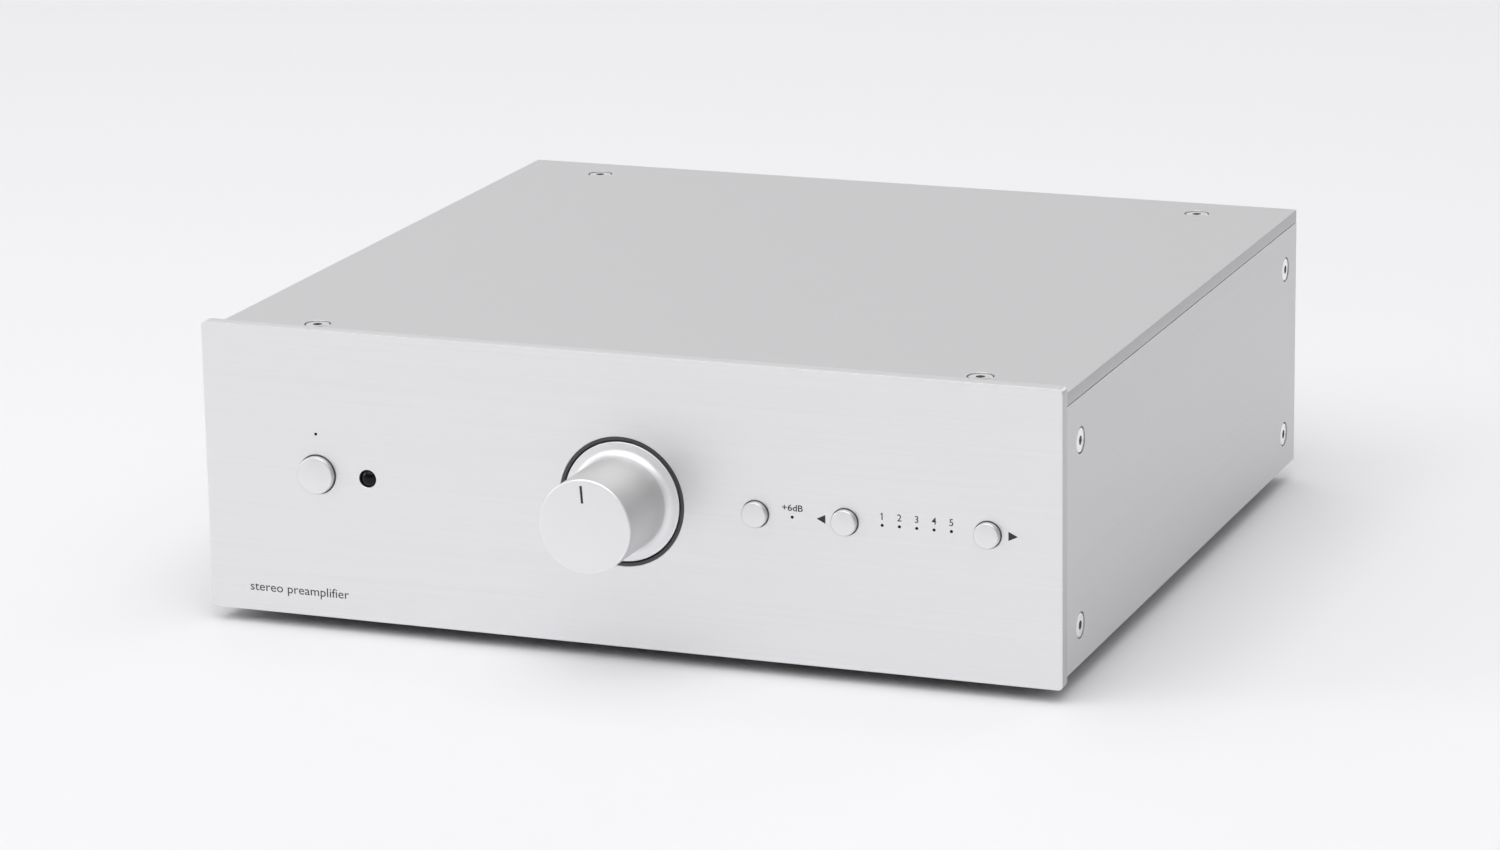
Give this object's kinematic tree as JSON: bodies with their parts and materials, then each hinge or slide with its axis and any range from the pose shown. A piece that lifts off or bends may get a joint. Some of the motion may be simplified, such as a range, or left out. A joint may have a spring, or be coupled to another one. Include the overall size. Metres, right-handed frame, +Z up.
{
  "type": "stereo preamplifier",
  "caption": "Half-width stereo preamplifier in a flat aluminium case, with a large volume knob, standby, gain and input buttons, and rear sockets.",
  "frame": {"origin": "on the surface that it stands on, under the middle of its bounding box", "axes": "+X to the right seen from the front, +Y to the rear, along the knob's axis, +Z up"},
  "size_m": [0.206, 0.224, 0.0712],
  "materials": {
    "satin_anodised": "fine satin brushed, natural anodised",
    "turned_anodised": "turned, natural anodised",
    "black_anodised": "black anodised, satin",
    "stainless": "bright stainless steel",
    "plated_steel": "zinc plated",
    "mill_aluminium": "mill finish extrusion",
    "black_painted_steel": "fine black powder coat",
    "foot_rubber": "matt moulded rubber",
    "black_plastic": "matt moulded plastic",
    "smoked_lens": "polished dark red lens",
    "light_pipe": "clear acrylic, unlit",
    "circuit_board": "green solder mask",
    "gold_plate": "polished gold plate",
    "white_plastic": "glossy moulded plastic",
    "red_plastic": "glossy moulded plastic",
    "capacitor_sleeve": "shrunk plastic sleeve",
    "film_box": "moulded box",
    "motor_can": "drawn steel can",
    "ribbon_grey": "flexible ribbon"
  },
  "bodies": {
    "case": {"front_panel": "satin_anodised", "top_cover": "satin_anodised", "left_side_panel": "satin_anodised", "right_side_panel": "satin_anodised", "rear_panel": "satin_anodised", "bottom_plate": "black_painted_steel", "front_lower_rail": "mill_aluminium", "front_upper_rail": "mill_aluminium", "rear_lower_rail": "mill_aluminium", "rear_upper_rail": "mill_aluminium", "case_screws": "stainless", "front_panel_screws": "plated_steel", "bottom_plate_screws": "plated_steel", "foot_screws": "plated_steel", "board_screws": "plated_steel", "board_standoffs": "plated_steel", "rubber_feet": "foot_rubber", "knob_ring": "black_anodised", "volume_bushing": "plated_steel", "bushing_nut": "plated_steel", "volume_potentiometer": "black_plastic", "volume_gearbox": "black_plastic", "volume_motor": "motor_can", "volume_bracket": "plated_steel", "switch_housings": "black_plastic", "light_pipes": "light_pipe", "indicator_lights": "light_pipe", "infrared_window": "smoked_lens", "infrared_receiver": "black_plastic", "front_board": "circuit_board", "main_board": "circuit_board", "socket_board": "circuit_board", "filter_capacitors": "capacitor_sleeve", "film_capacitors": "film_box", "input_relays": "black_plastic", "integrated_circuits": "black_plastic", "heatsink": "mill_aluminium", "voltage_regulators": "black_plastic", "board_connectors": "black_plastic", "ribbon_cable": "ribbon_grey", "socket_blocks": "black_plastic", "rca_shells": "gold_plate", "rca_sleeves_left": "white_plastic", "rca_sleeves_right": "red_plastic", "rca_contacts": "gold_plate", "trigger_socket": "black_plastic", "power_inlet": "black_plastic", "inlet_pin": "plated_steel"},
    "volume_control": {"volume_knob": "turned_anodised", "knob_grub_screw": "plated_steel", "volume_shaft": "plated_steel"},
    "power_key": {"power_button": "turned_anodised", "power_plunger": "black_plastic"},
    "gain_key": {"gain_button": "turned_anodised", "gain_plunger": "black_plastic"},
    "input_down_key": {"input_down_button": "turned_anodised", "input_down_plunger": "black_plastic"},
    "input_up_key": {"input_up_button": "turned_anodised", "input_up_plunger": "black_plastic"}
  },
  "joints": [
    {"name": "volume_turn", "type": "hinge", "parent": "case", "child": "volume_control", "pos_m": [0, -0.0905, 0.0373], "axis": [0, 1, 0], "range_deg": [-150, 150]},
    {"name": "power_press", "type": "slide", "parent": "case", "child": "power_key", "axis": [0, 1, 0], "range_m": [0, 0.0005], "stiffness_N_per_m": 400, "springref_m": -0.002},
    {"name": "gain_press", "type": "slide", "parent": "case", "child": "gain_key", "axis": [0, 1, 0], "range_m": [0, 0.0005], "stiffness_N_per_m": 400, "springref_m": -0.002},
    {"name": "input_down_press", "type": "slide", "parent": "case", "child": "input_down_key", "axis": [0, 1, 0], "range_m": [0, 0.0005], "stiffness_N_per_m": 400, "springref_m": -0.002},
    {"name": "input_up_press", "type": "slide", "parent": "case", "child": "input_up_key", "axis": [0, 1, 0], "range_m": [0, 0.0005], "stiffness_N_per_m": 400, "springref_m": -0.002}
  ]
}
